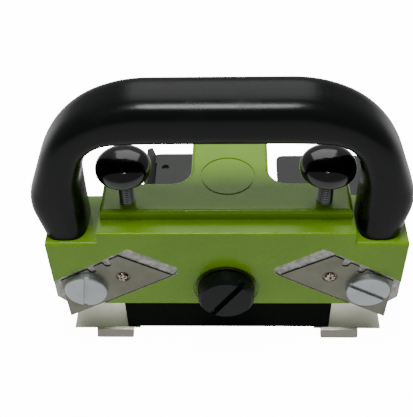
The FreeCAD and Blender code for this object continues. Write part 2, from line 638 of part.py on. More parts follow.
def base_screws():
    """All countersunk screws, as one group for the shoes and one for the skids."""
    shoe_low = BASE_Z[0] - SHOE_T
    skid_low = BASE_Z[0] - SKID_T
    shoe = [make_screw(side * x, y, shoe_low) for side in (-1, 1) for x, y in shoe_screw_points()]
    spans = (SKID_LEFT_X, SKID_RIGHT_X)
    skid = [make_screw(x, y, skid_low) for span in spans for x, y in skid_screw_points(span)]
    return Part.makeCompound(shoe), Part.makeCompound(skid)


def make_pin():
    """A locating pin for one blade."""
    x, z = PIN_AT
    return rod(PIN_R, (x, -PIN_PROUD, z), (x, PIN_END_Y, z))


def save(name, shape):
    """Write one node, moved to the shared frame."""
    moved = shape.copy()
    moved.translate(V(0, -FRAME_Y, 0))
    print(name, "valid", moved.isValid(), "solids", len(moved.Solids), "cm3", round(moved.Volume / 1000, 2))
    moved.exportStep("parts/" + name + ".step")


def main():
    """Build every node and write it."""
    os.makedirs("parts", exist_ok=True)
    blade = make_blade()
    stud = make_stud()
    knob = make_knob()
    clip = make_clip()
    shoe = make_shoe()
    shoe_screws, skid_screws = base_screws()
    save("body_casting", make_body())
    save("handle", make_handle())
    save("handle_inserts", both(make_insert()))
    save("handle_bolts", both(make_handle_bolt()))
    save("handle_washers", both(make_handle_washer()))
    save("blade_left", mirrored(blade))
    save("blade_right", blade)
    save("blade_pins", both(make_pin()))
    save("blade_screw_left", make_blade_screw(-1, -82))
    save("blade_screw_right", make_blade_screw(1, 30))
    save("lock_screw", make_lock_screw())
    save("lock_washer", make_lock_washer())
    save("base_block", make_base_block())
    save("guide_posts", both(make_post()))
    save("thrust_washers", both(make_thrust_washer()))
    save("shoe_left", mirrored(shoe))
    save("shoe_right", shoe)
    save("shoe_screws", shoe_screws)
    save("skid_left", make_skid(SKID_LEFT_X, SKID_BACK_Y[0], True))
    save("skid_right", make_skid(SKID_RIGHT_X, SKID_BACK_Y[1], False))
    save("skid_screws", skid_screws)
    save("stud_left", mirrored(stud))
    save("stud_right", stud)
    save("knob_left", mirrored(knob))
    save("knob_right", knob)
    save("clip_left", mirrored(clip))
    save("clip_right", clip)


main()
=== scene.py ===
"""Looks of a hand-held carpet edge trimmer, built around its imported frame.

Every new piece is a surface worked out on a grid, in metres, in the frame's own axes:
+X to the tool's right seen from its blade face, +Y towards the tail, +Z up from the floor.
"""
import logging
import math
from dataclasses import dataclass, field
from enum import Enum
from typing import Any, Optional, Sequence, Union

import bmesh
import bpy
import numpy as np
from mathutils import Matrix, Vector


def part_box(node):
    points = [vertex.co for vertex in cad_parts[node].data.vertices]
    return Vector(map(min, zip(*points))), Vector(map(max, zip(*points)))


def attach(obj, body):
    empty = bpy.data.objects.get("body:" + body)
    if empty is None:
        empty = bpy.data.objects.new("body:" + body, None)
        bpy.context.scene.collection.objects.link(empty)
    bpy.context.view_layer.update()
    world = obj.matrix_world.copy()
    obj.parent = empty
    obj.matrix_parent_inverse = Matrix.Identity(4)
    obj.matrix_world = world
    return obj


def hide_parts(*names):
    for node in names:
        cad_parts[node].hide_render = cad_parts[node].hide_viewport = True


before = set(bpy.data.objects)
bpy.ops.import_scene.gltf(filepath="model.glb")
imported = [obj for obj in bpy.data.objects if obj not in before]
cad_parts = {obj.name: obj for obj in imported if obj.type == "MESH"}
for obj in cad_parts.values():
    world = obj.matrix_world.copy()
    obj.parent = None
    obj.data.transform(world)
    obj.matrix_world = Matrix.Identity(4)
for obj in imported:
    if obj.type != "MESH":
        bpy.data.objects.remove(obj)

LOG = logging.getLogger("trimmer")
MM = 0.001
TAU = 2.0 * math.pi
Colour = tuple[float, float, float]
Array = np.ndarray
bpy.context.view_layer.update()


# --------------------------------------------------------------------------- shader maths


class Sock:
    """A shader socket that takes part in Python arithmetic, adding Math nodes as it goes."""

    def __init__(self, net: "Net", socket: bpy.types.NodeSocket) -> None:
        """Wrap an output socket of a node net."""
        self.net = net
        self.socket = socket

    def _math(self, operation: str, *values: "Value") -> "Sock":
        """Add one Math node over this net."""
        return self.net.node("ShaderNodeMath", {"operation": operation}, dict(enumerate(values))).out()

    def __add__(self, other: "Value") -> "Sock":
        """Sum."""
        return self._math("ADD", self, other)

    __radd__ = __add__

    def __sub__(self, other: "Value") -> "Sock":
        """Difference."""
        return self._math("SUBTRACT", self, other)

    def __rsub__(self, other: "Value") -> "Sock":
        """Difference with the number first."""
        return self._math("SUBTRACT", other, self)

    def __mul__(self, other: "Value") -> "Sock":
        """Product."""
        return self._math("MULTIPLY", self, other)

    __rmul__ = __mul__

    def __pow__(self, other: "Value") -> "Sock":
        """Power."""
        return self._math("POWER", self, other)

    def largest(self, other: "Value") -> "Sock":
        """The larger of two values."""
        return self._math("MAXIMUM", self, other)

    def ramp(self, low: float, high: float) -> "Sock":
        """Smooth rise from 0 to 1 as the value goes from low to high."""
        settings = {"interpolation_type": "SMOOTHSTEP"}
        sockets = {"Value": self, "From Min": low, "From Max": high, "To Min": 0.0, "To Max": 1.0}
        return self.net.node("ShaderNodeMapRange", settings, sockets).out()


Value = Union[Sock, float, int]


class Wired:
    """A node with its outputs reachable by name."""

    def __init__(self, net: "Net", node: bpy.types.Node) -> None:
        """Keep a node together with its net."""
        self.net = net
        self.node = node

    def out(self, name: Union[str, int] = 0) -> Sock:
        """Give one output socket, by name or number."""
        return Sock(self.net, self.node.outputs[name])


class Net:
    """The node net of one material."""

    def __init__(self, name: str) -> None:
        """Make an empty material of that name.

        Args:
            name: the material's name.
        """
        self.material = bpy.data.materials.new(name)
        self.material.use_nodes = True
        self.tree = self.material.node_tree
        self.tree.nodes.clear()

    def node(self, kind: str, settings: dict[str, Any], sockets: dict[Union[str, int], Any]) -> Wired:
        """Add a node, set its settings first and then its sockets.

        Args:
            kind: the node's type name.
            settings: attributes of the node.
            sockets: input name or number to a value or a Sock.

        Returns:
            The wired node.
        """
        made = self.tree.nodes.new(kind)
        for key, value in settings.items():
            setattr(made, key, value)
        for key, value in sockets.items():
            target = made.inputs[key]
            if isinstance(value, Sock):
                self.tree.links.new(value.socket, target)
            else:
                target.default_value = value
        return Wired(self, made)

    def place(self, scale: Sequence[float] = (1, 1, 1), turn: Sequence[float] = (0, 0, 0),
              shift: Sequence[float] = (0, 0, 0)) -> Sock:
        """Object coordinates through one Mapping node."""
        coords = self.node("ShaderNodeTexCoord", {}, {}).out("Object")
        sockets = {"Vector": coords, "Location": tuple(shift), "Rotation": tuple(turn), "Scale": tuple(scale)}
        return self.node("ShaderNodeMapping", {"vector_type": "POINT"}, sockets).out()

    def noise(self, where: Sock, scale: float, detail: float = 3.0, rough: float = 0.55) -> Sock:
        """Noise between 0 and 1 at a number of cells per metre."""
        sockets = {"Vector": where, "Scale": scale, "Detail": detail, "Roughness": rough}
        return self.node("ShaderNodeTexNoise", {}, sockets).out(0)

    def cells(self, where: Sock, scale: float) -> Sock:
        """Distance to the nearest point of a cell pattern."""
        sockets = {"Vector": where, "Scale": scale}
        return self.node("ShaderNodeTexVoronoi", {"feature": "F1"}, sockets).out(0)

    def split(self, where: Sock) -> tuple[Sock, Sock, Sock]:
        """The three coordinates of a vector."""
        parts = self.node("ShaderNodeSeparateXYZ", {}, {0: where})
        return parts.out(0), parts.out(1), parts.out(2)

    def blend(self, share: Value, first: Union[Colour, Sock], second: Union[Colour, Sock]) -> Sock:
        """Mix two colours by a share between 0 and 1."""
        made = self.tree.nodes.new("ShaderNodeMix")
        made.data_type = "RGBA"
        for name, value in (("Factor_Float", share), ("A_Color", first), ("B_Color", second)):
            target = next(s for s in made.inputs if s.identifier == name)
            if isinstance(value, Sock):
                self.tree.links.new(value.socket, target)
            elif name == "Factor_Float":
                target.default_value = value
            else:
                target.default_value = (*value, 1.0)
        return Sock(self, next(s for s in made.outputs if s.identifier == "Result_Color"))

    def bump(self, height: Sock, strength: float, distance: float, under: Optional[Sock] = None) -> Sock:
        """A Bump node over a height, on top of another normal if one is given."""
        sockets: dict[Union[str, int], Any] = {"Height": height, "Strength": strength, "Distance": distance}
        if under is not None:
            sockets["Normal"] = under
        return self.node("ShaderNodeBump", {}, sockets).out()

    def surface(self, colour: Union[Colour, Sock], rough: Value, metal: float, normal: Optional[Sock] = None,
                **fixed: Any) -> bpy.types.Material:
        """Finish the material with one Principled shader.

        Args:
            colour: base colour, fixed or linked.
            rough: roughness, fixed or linked.
            metal: metallic share.
            normal: linked normal, if there is one.
            fixed: further sockets set on the shader itself, with spaces written as underscores.

        Returns:
            The finished material.
        """
        shader = self.tree.nodes.new("ShaderNodeBsdfPrincipled")
        sockets: dict[str, Any] = {"Base Color": colour, "Roughness": rough, "Metallic": metal}
        if normal is not None:
            sockets["Normal"] = normal
        sockets.update({key.replace("_", " "): value for key, value in fixed.items()})
        for key, value in sockets.items():
            if isinstance(value, Sock):
                self.tree.links.new(value.socket, shader.inputs[key])
            elif key == "Base Color":
                shader.inputs[key].default_value = (*value, 1.0)
            else:
                shader.inputs[key].default_value = value
        end = self.tree.nodes.new("ShaderNodeOutputMaterial")
        self.tree.links.new(shader.outputs[0], end.inputs[0])
        return self.material


# --------------------------------------------------------------------------- finishes


class Grain(Enum):
    """How the marks on a bare metal face run."""

    ALONG_X = "straight marks along X"
    ALONG_Y = "straight marks along Y"
    FACED = "rings left by a facing cut"


@dataclass(frozen=True)
class Pocket:
    """Outline of a milled blade pocket on the right: lines as a point (x, z) and an outward normal."""

    lines: tuple = (((49.13, 75.11), (0.5184, 0.8551)), ((49.13, 75.11), (-0.5161, 0.8564)),
                    ((21.52, 58.47), (-0.5129, -0.8584)), ((25.20, 58.50), (-1.0, 0.0)))
    floor: float = 0.70
    ragged: float = 0.9

    def bare(self, net: "Net", where: Sock, front: float) -> Sock:
        """Share of bare metal: inside the outline, near the front face, with chipped paint around it.

        The distance to the outline is the largest of the distances to its lines; both sides share one
        outline through |x|.

        Args:
            net: the net to add to.
            where: object coordinates.
            front: Y of the front face, in metres.

        Returns:
            1 on bare metal, 0 on paint.
        """
        x, y, z = net.split(where)
        across = (x * x) ** 0.5
        edge: Optional[Sock] = None
        for (at_x, at_z), (to_x, to_z) in self.lines:
            run = across * to_x + z * to_z - (at_x * to_x + at_z * to_z) * MM
            edge = run if edge is None else edge.largest(run)
        chips = (net.noise(where, 380.0, 3.0) - 0.42) * self.ragged * 2.0 * MM
        inside = 1 - (edge - chips).ramp(-0.10 * MM, 0.10 * MM)
        shallow = 1 - y.ramp(front + (self.floor + 0.10) * MM, front + (self.floor + 0.20) * MM)
        return inside * shallow


@dataclass(frozen=True)
class Enamel:
    """Glossy enamel over a casting, left off in the milled blade pockets."""

    name: str = "green enamel"
    colour: Colour = (0.128, 0.275, 0.004)
    light: Colour = (0.150, 0.315, 0.006)
    dark: Colour = (0.080, 0.175, 0.002)
    metal: Colour = (0.50, 0.50, 0.48)
    metal_dark: Colour = (0.20, 0.20, 0.18)
    rough: float = 0.24
    pocket: Pocket = field(default_factory=Pocket)

    def build(self, front: float) -> bpy.types.Material:
        """Make the material.

        Args:
            front: Y of the casting's front face, in metres.

        Returns:
            The material.
        """
        net = Net(self.name)
        where = net.place()
        drift = net.noise(where, 26.0, 3.0)
        tone = net.blend(drift.ramp(0.30, 0.72), self.colour, self.light)
        specks = 1 - net.cells(where, 420.0).ramp(0.03, 0.09)
        tone = net.blend(specks * 0.40, tone, self.dark)
        bare = self.pocket.bare(net, where, front)
        cloud = net.noise(where, 300.0, 5.0, 0.65)
        marks = net.noise(net.place((2600, 400, 700), (0.0, 0.5, 0.0)), 1.0, 3.0)
        steel = net.blend((cloud * 0.6 + marks * 0.4).ramp(0.38, 0.66), self.metal_dark, self.metal)
        tone = net.blend(bare, tone, steel)
        smudge = net.noise(where, 90.0, 4.0).ramp(0.45, 0.75)
        rough = (smudge * 0.10 + self.rough) * (1 - bare) + bare * (cloud * 0.30 + 0.30)
        peel = net.noise(where, 520.0, 2.0)
        pits = net.noise(where, 1900.0, 2.0)
        painted = net.bump(peel * 0.8 + pits * 0.2, 0.18, 0.0006)
        normal = net.bump(bare * (marks * 0.5 + cloud * 0.5), 0.45, 0.0006, painted)
        return net.surface(tone, rough, bare, normal, Coat_Weight=(1 - bare) * 0.12, Coat_Roughness=0.10,
                           Specular_IOR_Level=0.25)


@dataclass(frozen=True)
class Moulded:
    """Black moulded plastic: fine grain, faint scuffs, a softly changing sheen."""

    name: str
    colour: Colour = (0.012, 0.013, 0.013)
    worn: Colour = (0.030, 0.031, 0.031)
    rough: float = 0.38
    grain: float = 0.16
    coat: float = 0.0
    shine: float = 0.5

    def build(self) -> bpy.types.Material:
        """Make the material."""
        net = Net(self.name)
        where = net.place()
        rub = net.noise(where, 45.0, 4.0).ramp(0.48, 0.78)
        tone = net.blend(rub * 0.6, self.colour, self.worn)
        rough = rub * 0.10 + net.noise(where, 400.0, 2.0) * 0.06 + (self.rough - 0.03)
        skin = net.noise(where, 1500.0, 2.0)
        scuffs = net.noise(net.place((60, 900, 260), (0.3, 0.5, 0.2)), 1.0, 2.0).ramp(0.60, 0.80)
        normal = net.bump(skin * 0.7 + scuffs * 0.3, self.grain, 0.0004)
        return net.surface(tone, rough, 0.0, normal, Coat_Weight=self.coat, Coat_Roughness=0.06,
                           Specular_IOR_Level=self.shine)


@dataclass(frozen=True)
class BareMetal:
    """Bare or plated metal with tool marks, cloudy tone and small stains."""

    name: str
    colour: Colour
    stain: Colour
    rough: float
    marks: Grain = Grain.ALONG_X
    centre: Colour = (0.0, 0.0, 0.0)
    depth: float = 0.20
    turn: float = 0.0

    def build(self) -> bpy.types.Material:
        """Make the material."""
        net = Net(self.name)
        where = net.place(shift=[-c for c in self.centre])
        if self.marks is Grain.FACED:
            x, _, z = net.split(where)
            radius = (x * x + z * z) ** 0.5
            line = net.node("ShaderNodeCombineXYZ", {}, {0: radius * 5200.0, 1: 0.0, 2: 0.0}).out()
            streak = net.noise(line, 1.0, 2.0)
        else:
            stretch = (60, 2400, 2400) if self.marks is Grain.ALONG_X else (2400, 60, 2400)
            streak = net.noise(net.place(stretch, (0.0, self.turn, 0.0)), 1.0, 3.0)
        cloud = net.noise(where, 70.0, 4.0)
        spots = net.noise(where, 260.0, 5.0, 0.6).ramp(0.60, 0.74)
        tone = net.blend(cloud.ramp(0.35, 0.75) * 0.35 + streak * 0.25, self.colour, self.stain)
        tone = net.blend(spots * 0.35, tone, self.stain)
        rough = cloud * 0.14 + spots * 0.12 + streak * 0.10 + (self.rough - 0.12)
        normal = net.bump(streak, self.depth, 0.0002)
        return net.surface(tone, rough, 1.0, normal)


@dataclass(frozen=True)
class DarkCoat:
    """Dark coated steel or iron: flat paint or black oxide with a few rubbed spots."""

    name: str
    colour: Colour
    worn: Colour
    rough: float
    metal: float = 0.0
    grit: float = 900.0
    depth: float = 0.25
    shine: float = 0.4

    def build(self) -> bpy.types.Material:
        """Make the material."""
        net = Net(self.name)
        where = net.place()
        patch = net.noise(where, 60.0, 5.0, 0.6)
        dust = net.noise(where, 700.0, 3.0).ramp(0.58, 0.78)
        tone = net.blend(patch.ramp(0.42, 0.78) * 0.5 + dust * 0.3, self.colour, self.worn)
        rough = patch * 0.16 + (self.rough - 0.08)
        height = net.noise(where, self.grit, 3.0) * 0.7 + dust * 0.3
        return net.surface(tone, rough, self.metal, net.bump(height, self.depth, 0.0003),
                           Specular_IOR_Level=self.shine)


@dataclass(frozen=True)
class BladeSteel:
    """A ground blade: dull warm face, cut edges darkened partly as oxide and partly as painted shade, and a
    brown ring rubbed round the pin hole.
    """

    name: str
    front: float
    pin: tuple
    turn: float
    colour: Colour = (0.205, 0.205, 0.165)
    stain: Colour = (0.135, 0.130, 0.098)
    # Colour of the side faces: part oxide on the cut edges, part painted contact shadow.
    edge: Colour = (0.020, 0.021, 0.018)
    ring: Colour = (0.110, 0.060, 0.035)
    rough: float = 0.48

    def build(self) -> bpy.types.Material:
        """Make the material: the face is what lies nearer than 0.08 mm to the front plane."""
        net = Net(self.name)
        where = net.place()
        x, y, z = net.split(where)
        cloud = net.noise(where, 90.0, 4.0)
        streak = net.noise(net.place((70, 2400, 2400), (0.0, self.turn, 0.0)), 1.0, 3.0)
        tone = net.blend(cloud.ramp(0.35, 0.75) * 0.45 + streak * 0.20, self.colour, self.stain)
        away = ((x - self.pin[0]) * (x - self.pin[0]) + (z - self.pin[1]) * (z - self.pin[1])) ** 0.5
        rubbed = 1 - (away + (cloud - 0.5) * 1.6 * MM).ramp(3.5 * MM, 4.3 * MM)
        tone = net.blend(rubbed * 0.85, tone, self.ring)
        # Painted shade: every face behind the front plane takes the dark edge colour, standing partly for
        # oxide and partly for the shadow along the blade's edges.
        side = y.ramp(self.front + 0.05 * MM, self.front + 0.10 * MM)
        tone = net.blend(side, tone, self.edge)
        rough = cloud * 0.16 + streak * 0.08 + side * 0.2 + (self.rough - 0.12)
        return net.surface(tone, rough, 1.0, net.bump(streak, 0.18, 0.0002))


@dataclass(frozen=True)
class Punched:
    """The struck face of a rivet: bright and dark pits side by side."""

    name: str = "struck pin"
    bright: Colour = (0.75, 0.68, 0.55)
    dark: Colour = (0.05, 0.035, 0.02)

    def build(self) -> bpy.types.Material:
        """Make the material."""
        net = Net(self.name)
        where = net.place()
        pits = net.cells(where, 1100.0)
        tone = net.blend(pits.ramp(0.30, 0.62), self.bright, self.dark)
        rough = net.noise(where, 900.0, 2.0) * 0.3 + 0.2
        return net.surface(tone, rough, 1.0, net.bump(pits, 0.9, 0.0006))


@dataclass(frozen=True)
class Threaded:
    """A zinc plated thread whose roots are darkened with painted shade, told from its crests by the radius
    about the axis.
    """

    name: str
    axis: Vector
    root: float = 3.45 * MM
    crest: float = 3.90 * MM
    bright: Colour = (0.50, 0.52, 0.51)
    # Colour of the thread roots: painted shade, not dirt.
    painted_root_shade: Colour = (0.030, 0.032, 0.030)

    def build(self) -> bpy.types.Material:
        """Make the material."""
        net = Net(self.name)
        where = net.place()
        x, y, _ = net.split(where)
        across, along = x - self.axis.x, y - self.axis.y
        radius = (across * across + along * along) ** 0.5
        # Painted shade: the roots take the dark colour and the crests the bright one, so the thread reads as
        # lit crests and shaded roots.
        tone = net.blend(radius.ramp(self.root, self.crest), self.painted_root_shade, self.bright)
        rough = net.noise(where, 500.0, 3.0) * 0.16 + 0.26
        return net.surface(tone, rough, 1.0)


@dataclass(frozen=True)
class Paper:
    """The pale floor: white to the camera, paper to the light, and shaded below the skid's hole."""

    name: str = "pale floor"
    colour: Colour = (0.80, 0.80, 0.80)
    glow: float = 14.0
    shade_at: tuple = (-42.9 * MM, 68.3 * MM)
    shade: float = 6.0 * MM

    def build(self) -> bpy.types.Material:
        """Make the material."""
        net = Net(self.name)
        where = net.place()
        tone = net.blend(net.noise(where, 3.0, 2.0) * 0.25, self.colour, (0.78, 0.78, 0.785))
        seen = net.node("ShaderNodeLightPath", {}, {}).out("Is Camera Ray")
        x, y, _ = net.split(where)
        across, along = x - self.shade_at[0], y - self.shade_at[1]
        clear = ((across * across + along * along) ** 0.5).ramp(self.shade, self.shade * 1.2)
        tone = net.blend(clear, (0.06, 0.06, 0.06), tone)
        white = net.blend(seen * clear, (0.0, 0.0, 0.0), (1.0, 1.0, 1.0))
        return net.surface(tone, 0.9, 0.0, Specular_IOR_Level=0.1, Emission_Color=white,
                           Emission_Strength=self.glow)


# --------------------------------------------------------------------------- surfaces


def surface_mesh(name: str, grid: Array, wrap_u: bool, wrap_v: bool, cap_v: bool = False) -> bpy.types.Object:
    """Turn a grid of points into a smooth mesh object at the origin.

    The grid is indexed [u, v]. Quads join neighbours; a wrapped direction closes on itself, and
    cap_v closes the first and last row of v with one face each.

    Args:
        name: the object's name.
        grid: points of shape (u, v, 3), in metres.
        wrap_u: whether u closes on itself.
        wrap_v: whether v closes on itself.
        cap_v: whether the two v ends get flat caps.

    Returns:
        The new object, linked to the scene.
    """
    rows, cols = grid.shape[:2]
    index = np.arange(rows * cols).reshape(rows, cols)
    near = index if wrap_u else index[:-1]
    far = np.roll(index, -1, axis=0) if wrap_u else index[1:]
    a, b = near, far
    if wrap_v:
        quads = np.stack([a, b, np.roll(b, -1, axis=1), np.roll(a, -1, axis=1)], axis=-1).reshape(-1, 4)
    else:
        quads = np.stack([a[:, :-1], b[:, :-1], b[:, 1:], a[:, 1:]], axis=-1).reshape(-1, 4)
    faces = quads.tolist()
    if cap_v:
        faces.append(index[::-1, 0].tolist())
        faces.append(index[:, -1].tolist())
    mesh = bpy.data.meshes.new(name)
    mesh.from_pydata(grid.reshape(-1, 3).tolist(), [], faces)
    return finished(name, mesh)


def finished(name: str, mesh: bpy.types.Mesh) -> bpy.types.Object:
    """Merge doubles, face outwards, shade smooth and link a mesh.

    Args:
        name: the object's name.
        mesh: its mesh.

    Returns:
        The linked object.
    """
    work = bmesh.new()
    work.from_mesh(mesh)
    bmesh.ops.remove_doubles(work, verts=work.verts, dist=1e-6)
    bmesh.ops.dissolve_degenerate(work, edges=work.edges, dist=1e-7)
    bmesh.ops.recalc_face_normals(work, faces=work.faces)
    work.to_mesh(mesh)
    work.free()
    mesh.shade_smooth()
    made = bpy.data.objects.new(name, mesh)
    bpy.context.scene.collection.objects.link(made)
    return made


def crease(piece: bpy.types.Object, degrees: float) -> None:
    """Keep edges sharper than an angle crisp under smooth shading."""
    piece.data.set_sharp_from_angle(angle=math.radians(degrees))


def turned_grid(radius: Array, height: Array, steps: int) -> Array:
    """A profile turned about +Z: x = r cos t, y = r sin t, z = h, for t around the circle."""
    angle = np.linspace(0.0, TAU, steps, endpoint=False)[:, None]
    r = radius[None, :]
    level = np.broadcast_to(height[None, :], (steps, len(height)))
    return np.stack([r * np.cos(angle), r * np.sin(angle), level], -1)


def smooth_path(points: Sequence[Sequence[float]], per_span: int) -> Array:
    """A Catmull-Rom curve through points, as an array of samples.

    For each span the point is the cubic whose end slopes are half the chord of the two neighbours.

    Args:
        points: the points that the curve passes through.
        per_span: samples in each span.

    Returns:
        Samples of shape (n, dims), the last point included.
    """
    p = np.asarray(points, float)
    ext = np.vstack([2 * p[0] - p[1], p, 2 * p[-1] - p[-2]])
    t = np.linspace(0.0, 1.0, per_span, endpoint=False)[:, None]
    spans = []
    for i in range(len(p) - 1):
        a, b, c, d = ext[i:i + 4]
        spans.append(0.5 * (2 * b + (c - a) * t + (2 * a - 5 * b + 4 * c - d) * t ** 2
                            + (3 * b - a - 3 * c + d) * t ** 3))
    return np.vstack(spans + [p[-1:]])


def rounded_corner(points: Sequence[Sequence[float]], radii: Sequence[float], steps: int) -> Array:
    """An open outline whose inner corners are arcs, sampled evenly by arc length afterwards.

    Args:
        points: corner points (x, z) in metres.
        radii: radius at each inner corner.
        steps: samples of the finished outline.

    Returns:
        Samples of shape (steps, 2).
    """
    p = [np.asarray(q, float) for q in points]
    chain = [p[0]]
    for i, radius in enumerate(radii, start=1):
        back = (p[i - 1] - p[i]) / np.linalg.norm(p[i - 1] - p[i])
        ahead = (p[i + 1] - p[i]) / np.linalg.norm(p[i + 1] - p[i])
        half = math.acos(float(np.dot(back, ahead))) / 2
        middle = p[i] + (back + ahead) / np.linalg.norm(back + ahead) * (radius / math.sin(half))
        first = p[i] + back * radius / math.tan(half) - middle
        last = p[i] + ahead * radius / math.tan(half) - middle
        a0 = math.atan2(first[1], first[0])
        a1 = math.atan2(last[1], last[0])
        sweep = (a1 - a0 + math.pi) % TAU - math.pi
        angle = a0 + sweep * np.linspace(0.0, 1.0, 24)
        chain.extend(middle + radius * np.stack([np.cos(angle), np.sin(angle)], -1))
    chain.append(p[-1])
    line = np.array(chain)
    length = np.concatenate([[0.0], np.cumsum(np.linalg.norm(np.diff(line, axis=0), axis=1))])
    even = np.linspace(0.0, length[-1], steps)
    return np.stack([np.interp(even, length, line[:, 0]), np.interp(even, length, line[:, 1])], -1)


# --------------------------------------------------------------------------- sub-assemblies


def node_middle(name: str) -> Vector:
    """The middle of a frame node's box."""
    low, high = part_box(name)
    return (low + high) / 2


def dress(names: Sequence[str], material: bpy.types.Material) -> None:
    """Give frame nodes a material without touching their meshes."""
    for name in names:
        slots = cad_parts[name].material_slots
        for place in slots:
            place.link = "OBJECT"
            place.material = material
        LOG.info("dressed %s in %s", name, material.name)


def add_piece(piece: bpy.types.Object, body: str, nodes: Sequence[str],
              material: bpy.types.Material) -> None:
    """Dress a new piece, ride it on its body and let it stand for frame nodes."""
    piece.data.materials.append(material)
    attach(piece, body)
    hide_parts(*nodes)
    LOG.info("built %s, %d faces, on %s", piece.name, len(piece.data.polygons), body)


@dataclass
class Handle:
    """The wide D handle: a rounded section that follows an outer and an inner outline."""

    outer: tuple = ((89.6, 0.0), (94.8, 22.0), (72.2, 82.2), (0.0, 82.2))
    inner: tuple = ((68.0, 0.0), (68.0, 33.0), (60.8, 57.9), (0.0, 57.9))
    outer_round: tuple = (26.0, 56.0)
    inner_round: tuple = (30.0, 18.0)
    edge: float = 3.1
    along: int = 140
    around: int = 72

    def outline(self, corners: tuple, radii: tuple, foot: float) -> Array:
        """One half outline from the foot to the middle, in metres."""
        points = [(x * MM, foot + z * MM) for x, z in corners]
        return rounded_corner(points, [r * MM for r in radii], self.along)

    def build(self) -> bpy.types.Object:
        """Sweep the section: a super-ellipse |a|^n + |b|^n = 1 between the two outlines.

        Returns:
            The handle's object.
        """
        low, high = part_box("handle")
        outside = self.outline(self.outer, self.outer_round, low.z)
        inside = self.outline(self.inner, self.inner_round, low.z)
        mirror = np.array([-1.0, 1.0])
        outside = np.vstack([outside, (outside[:-1] * mirror)[::-1]])
        inside = np.vstack([inside, (inside[:-1] * mirror)[::-1]])
        angle = np.linspace(0.0, TAU, self.around, endpoint=False)
        power = 2.0 / self.edge
        a = np.sign(np.cos(angle)) * np.abs(np.cos(angle)) ** power
        b = np.sign(np.sin(angle)) * np.abs(np.sin(angle)) ** power
        middle = (outside + inside) / 2
        half = (outside - inside) / 2
        flat = middle[:, None, :] + half[:, None, :] * a[None, :, None]
        y = (low.y + high.y) / 2 + (high.y - low.y) / 2 * b
        shift = node_middle("handle").x
        grid = np.stack([flat[..., 0] + shift, np.broadcast_to(y, flat.shape[:2]), flat[..., 1]], -1)
        return surface_mesh("handle_grip", grid.transpose(1, 0, 2), True, False, cap_v=True)

    def dress(self, piece: bpy.types.Object) -> None:
        """Black plastic; the inserts in its feet are brass."""
        crease(piece, 60)
        plastic = Moulded("handle plastic", (0.002, 0.003, 0.0024), (0.005, 0.006, 0.0055),
                          rough=0.25, grain=0.07, shine=0.17).build()
        add_piece(piece, "casting", ["handle"], plastic)
        brass = BareMetal("insert brass", (0.60, 0.42, 0.16), (0.35, 0.24, 0.09), 0.35).build()
        dress(["handle_inserts"], brass)


@dataclass
class ThumbScrew:
    """One mushroom knob on its threaded stud."""

    side: str
    pitch: float = 1.25 * MM
    crest: float = 4.0 * MM
    thread_depth: float = 0.65 * MM
    shank: tuple = ((0.0, 3.0), (1.5, 3.0), (1.5, 2.4), (2.5, 2.4), (2.5, 3.0), (32.5, 3.0),
                    (32.5, 6.5), (35.5, 6.5), (35.5, 3.4))
    cap: tuple = ((0.0, 0.0), (5.4, 0.0), (6.3, 0.7), (6.6, 2.6), (8.5, 4.2), (11.6, 5.7),
                  (13.3, 7.6), (13.7, 9.6), (13.4, 11.9), (12.3, 13.9), (9.9, 15.7), (6.6, 16.9),
                  (3.1, 17.48), (1.2, 17.59), (0.0, 17.6))

    def knob(self) -> bpy.types.Object:
        """The knob: a smooth profile turned about its axis."""
        low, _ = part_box(f"knob_{self.side}")
        axis = node_middle(f"stud_{self.side}")
        line = smooth_path(self.cap, 8) * MM
        line[:, 0] = np.clip(line[:, 0], 0.0, None)
        grid = turned_grid(line[:, 0], line[:, 1], 96) + np.array([axis.x, axis.y, low.z])
        return surface_mesh(f"thumb_knob_{self.side}", grid, True, False)

    def stud(self) -> bpy.types.Object:
        """The stud: plain journal and collar, then a thread whose radius is the crest less a wave.

        The wave is the sharpened triangle of z / pitch - angle / turn, so that the thread is a helix.
        """
        low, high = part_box(f"stud_{self.side}")
        axis = node_middle(f"stud_{self.side}")
        shank = np.array(self.shank) * MM
        z = np.arange(low.z + shank[-1, 0], high.z, self.pitch / 10)
        angle = np.linspace(0.0, TAU, 48, endpoint=False)
        phase = z[None, :] / self.pitch - angle[:, None] / TAU
        wave = np.abs(2.0 * (phase - np.floor(phase)) - 1.0)
        thread = self.crest - self.thread_depth * np.clip(wave * 1.25 - 0.1, 0.0, 1.0)
        plain = np.broadcast_to(shank[:, 1], (len(angle), len(shank)))
        radius = np.hstack([plain, thread])
        height = np.concatenate([low.z + shank[:, 0], z])
        x = axis.x + radius * np.cos(angle)[:, None]
        y = axis.y + radius * np.sin(angle)[:, None]
        grid = np.stack([x, y, np.broadcast_to(height, x.shape)], -1)
        return surface_mesh(f"thumb_stud_{self.side}", grid, True, False, cap_v=True)

    def build(self, plastic: bpy.types.Material) -> None:
        """Build and dress both pieces."""
        body = f"thumb_{self.side}"
        add_piece(self.knob(), body, [f"knob_{self.side}"], plastic)
        piece = self.stud()
        crease(piece, 35)
        zinc = Threaded(f"stud zinc {self.side}", node_middle(f"stud_{self.side}")).build()
        add_piece(piece, body, [f"stud_{self.side}"], zinc)


